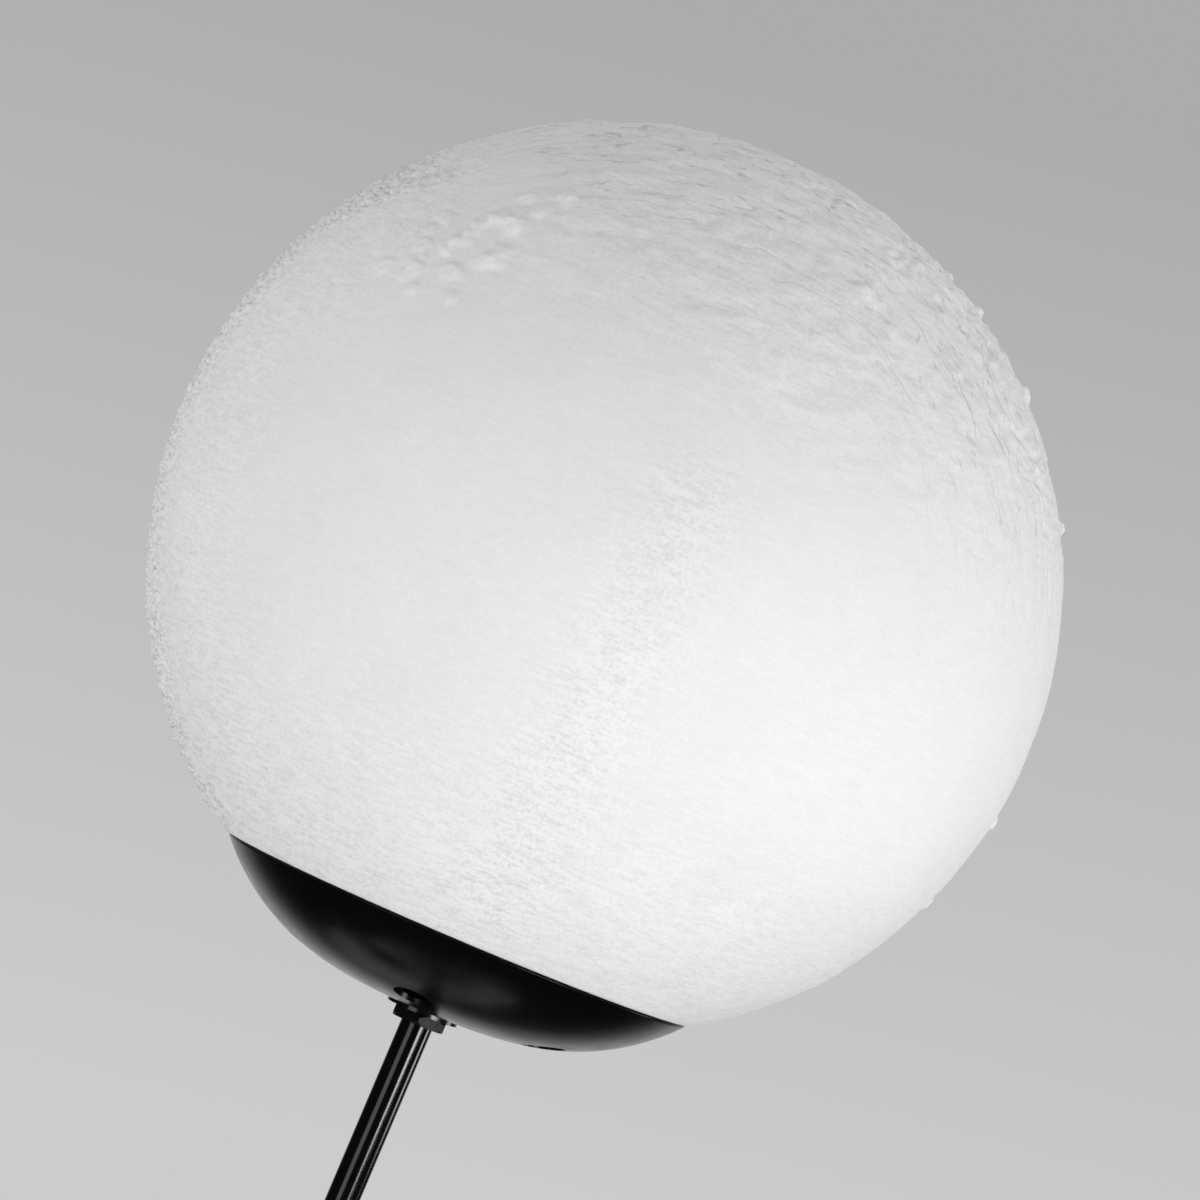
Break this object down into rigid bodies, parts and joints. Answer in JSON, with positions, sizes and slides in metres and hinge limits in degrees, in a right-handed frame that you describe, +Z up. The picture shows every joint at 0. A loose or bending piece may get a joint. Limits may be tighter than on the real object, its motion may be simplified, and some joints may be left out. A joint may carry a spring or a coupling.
{
  "type": "astronaut table lamp",
  "caption": "Table lamp: a standing astronaut figure on a round weighted base grips a leaning tube that carries a vented dish and a moon-relief globe over a pin-base bulb.",
  "frame": {"origin": "centre of the foot pad's underside, which is the middle of the round base where it rests", "axes": "+Z up, +X the side that the stem leans to, -Y the front that the figure faces"},
  "size_m": [0.3354, 0.2642, 0.5652],
  "materials": {
    "moon_print": "matte",
    "black_enamel": "gloss",
    "black_zinc": "satin",
    "zinc_steel": "satin",
    "spring_steel": "satin",
    "clear_collar": "satin",
    "steatite": "gloss",
    "contact_brass": "satin",
    "bulb_housing": "gloss",
    "frosted_cover": "satin",
    "flex": "matte",
    "iron": "matte",
    "foam": "matte",
    "gland_rubber": "matte",
    "terminal_plastic": "matte",
    "suit_white": "satin",
    "glove_grey": "matte",
    "trim_grey": "satin",
    "visor_black": "gloss",
    "knob_black": "satin"
  },
  "bodies": {
    "stand": {"support_dish": "black_enamel", "stem_tube": "black_enamel", "base_cover": "black_enamel", "stem_socket": "black_enamel", "dish_washer": "black_zinc", "dish_nut": "black_zinc", "stem_grub_screw": "black_zinc", "lock_washer": "zinc_steel", "lock_nut": "zinc_steel", "bracket_nuts": "zinc_steel", "holder_bracket": "zinc_steel", "holder_screws": "zinc_steel", "plate_screws": "zinc_steel", "socket_screws": "zinc_steel", "figure_screws": "zinc_steel", "bottom_plate": "zinc_steel", "globe_clips": "spring_steel", "lampholder": "steatite", "holder_contacts": "contact_brass", "inner_lead": "flex", "base_weight": "iron", "foot_pad": "foam", "cord_gland": "gland_rubber", "terminal_block": "terminal_plastic", "left_boot": "suit_white", "right_boot": "suit_white", "left_leg": "suit_white", "right_leg": "suit_white", "hips": "suit_white", "torso": "suit_white", "left_arm": "suit_white", "right_arm": "suit_white", "helmet": "suit_white", "backpack": "suit_white", "left_glove": "glove_grey", "right_glove": "glove_grey", "left_sole": "glove_grey", "right_sole": "glove_grey", "belt": "trim_grey", "neck_ring": "trim_grey", "left_cuff": "trim_grey", "right_cuff": "trim_grey", "visor_frame": "trim_grey", "backpack_hatch": "trim_grey", "chest_pack": "trim_grey", "visor": "visor_black", "chest_knobs": "knob_black"},
    "globe": {"moon_globe": "moon_print", "globe_collar": "clear_collar"},
    "bulb": {"bulb_base": "bulb_housing", "bulb_diffuser": "frosted_cover", "bulb_pins": "contact_brass"}
  },
  "joints": [
    {"name": "globe_lift", "type": "slide", "parent": "stand", "child": "globe", "axis": [0.3907, 0, 0.9205], "range_m": [0, 0.15]},
    {"name": "bulb_pull", "type": "slide", "parent": "stand", "child": "bulb", "axis": [0.3907, 0, 0.9205], "range_m": [0, 0.03]}
  ]
}
